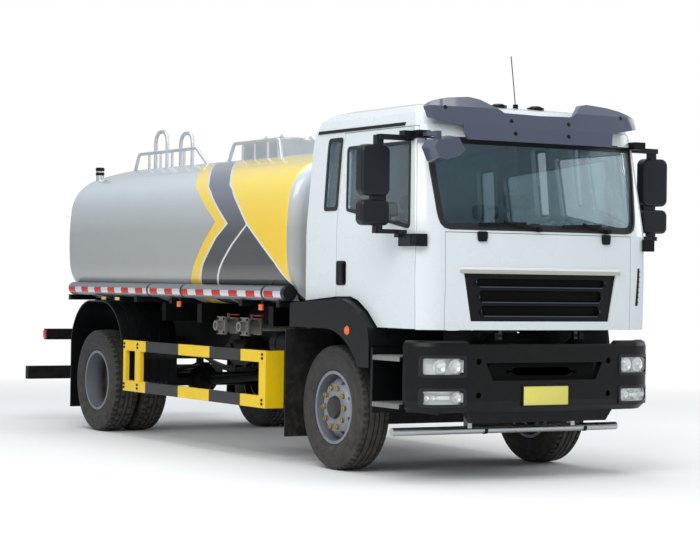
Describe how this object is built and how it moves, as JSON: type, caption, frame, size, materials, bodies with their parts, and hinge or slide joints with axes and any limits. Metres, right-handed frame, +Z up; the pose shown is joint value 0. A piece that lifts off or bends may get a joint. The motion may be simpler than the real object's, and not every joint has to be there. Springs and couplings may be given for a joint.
{
  "type": "water tank truck",
  "caption": "Two-axle water tank truck with a tilting cab, opening doors and front flap, steered front wheels, side guards and a tank with manway, walkway rail and ladder.",
  "frame": {"origin": "on the ground, at the middle of the truck's length and width", "axes": "+X forward, +Y to the vehicle's left, +Z up"},
  "size_m": [8.235, 3.01, 3.4237],
  "materials": {
    "frame_black": "satin",
    "engine_grey": "matte",
    "pump_metal": "matte",
    "black_plastic": "matte",
    "flap_rubber": "matte",
    "lamp": "gloss",
    "bright_steel": "brushed",
    "rail_silver": "satin",
    "guard_yellow": "gloss",
    "tank_silver": "gloss",
    "cab_white": "gloss",
    "cab_glass": "gloss",
    "visor_grey": "gloss",
    "seat_fabric": "matte",
    "dash_grey": "matte",
    "tyre": "matte",
    "rim_silver": "satin"
  },
  "bodies": {
    "chassis": {"chassis_frame": "frame_black", "front_axle_beam": "frame_black", "rear_axle": "frame_black", "leaf_springs": "frame_black", "engine_block": "engine_grey", "drive_line": "frame_black", "frame_side_tanks": "frame_black", "pump_and_valves": "pump_metal", "bumper": "black_plastic", "lamp_units": "lamp", "entry_steps": "black_plastic", "spray_pipe": "bright_steel", "front_mud_flaps": "flap_rubber", "rear_mudguards": "black_plastic", "side_guards": "guard_yellow", "rear_beams": "frame_black", "water_tank": "tank_silver", "tank_sills": "frame_black", "tank_saddles": "frame_black", "hose_tubes": "bright_steel", "tank_top_fittings": "rail_silver", "rear_ladder": "rail_silver"},
    "lid": {"manway_lid": "rail_silver"},
    "cab": {"cab_shell": "cab_white", "cab_glass": "cab_glass", "sun_visor": "visor_grey", "wipers": "black_plastic", "cab_trim": "black_plastic", "kerb_mirror": "black_plastic", "wheel_arches": "black_plastic", "seats": "seat_fabric", "dashboard": "dash_grey"},
    "front_flap": {"front_panel": "cab_white", "grille": "black_plastic"},
    "door_right": {"door_right": "cab_white", "door_glass_right": "cab_glass", "door_mirror_right": "black_plastic"},
    "door_left": {"door_left": "cab_white", "door_glass_left": "cab_glass", "door_mirror_left": "black_plastic"},
    "knuckle_left": {"knuckle_left": "frame_black"},
    "knuckle_right": {"knuckle_right": "frame_black"},
    "tie_rod": {"tie_rod": "frame_black"},
    "wheel_front_left": {"front_tyre_left": "tyre", "front_rim_left": "rim_silver"},
    "wheel_front_right": {"front_tyre_right": "tyre", "front_rim_right": "rim_silver"},
    "wheel_rear_left": {"rear_tyres_left": "tyre", "rear_rims_left": "rim_silver"},
    "wheel_rear_right": {"rear_tyres_right": "tyre", "rear_rims_right": "rim_silver"}
  },
  "joints": [
    {"name": "cab_tilt", "type": "hinge", "parent": "chassis", "child": "cab", "pos_m": [3.9, 0, 1.15], "axis": [0, 1, 0], "range_deg": [0, 50]},
    {"name": "flap_lift", "type": "hinge", "parent": "cab", "child": "front_flap", "pos_m": [3.967, 0, 1.957], "axis": [0, -1, 0], "range_deg": [0, 80]},
    {"name": "door_right_swing", "type": "hinge", "parent": "cab", "child": "door_right", "pos_m": [3.826, -1.163, 2], "axis": [0, 0, 1], "range_deg": [0, 70]},
    {"name": "door_left_swing", "type": "hinge", "parent": "cab", "child": "door_left", "pos_m": [3.826, 1.163, 2], "axis": [0, 0, -1], "range_deg": [0, 70]},
    {"name": "lid_lift", "type": "hinge", "parent": "chassis", "child": "lid", "pos_m": [-0.61, 0, 2.939], "axis": [0, -1, 0], "range_deg": [0, 100]},
    {"name": "steer", "type": "hinge", "parent": "chassis", "child": "knuckle_left", "pos_m": [2.56, 0.88, 0.517], "axis": [0, 0, 1], "range_deg": [-35, 35]},
    {"name": "steer_right", "type": "hinge", "parent": "chassis", "child": "knuckle_right", "pos_m": [2.56, -0.88, 0.517], "axis": [0, 0, 1], "range_deg": [-35, 35]},
    {"name": "tie_rod_swing", "type": "hinge", "parent": "knuckle_left", "child": "tie_rod", "pos_m": [2.37, 0.8, 0.373], "axis": [0, 0, 1], "range_deg": [-35, 35]},
    {"name": "roll_front_left", "type": "hinge", "parent": "knuckle_left", "child": "wheel_front_left", "pos_m": [2.56, 0.987, 0.517], "axis": [0, 1, 0], "continuous": true},
    {"name": "roll_front_right", "type": "hinge", "parent": "knuckle_right", "child": "wheel_front_right", "pos_m": [2.56, -0.987, 0.517], "axis": [0, 1, 0], "continuous": true},
    {"name": "roll_rear_left", "type": "hinge", "parent": "chassis", "child": "wheel_rear_left", "pos_m": [-2.14, 0.92, 0.517], "axis": [0, 1, 0], "continuous": true},
    {"name": "roll_rear_right", "type": "hinge", "parent": "chassis", "child": "wheel_rear_right", "pos_m": [-2.14, -0.92, 0.517], "axis": [0, 1, 0], "continuous": true}
  ],
  "couplings": [
    {"joint": "steer_right", "follows": "steer", "ratio": 1},
    {"joint": "tie_rod_swing", "follows": "steer", "ratio": -1}
  ]
}
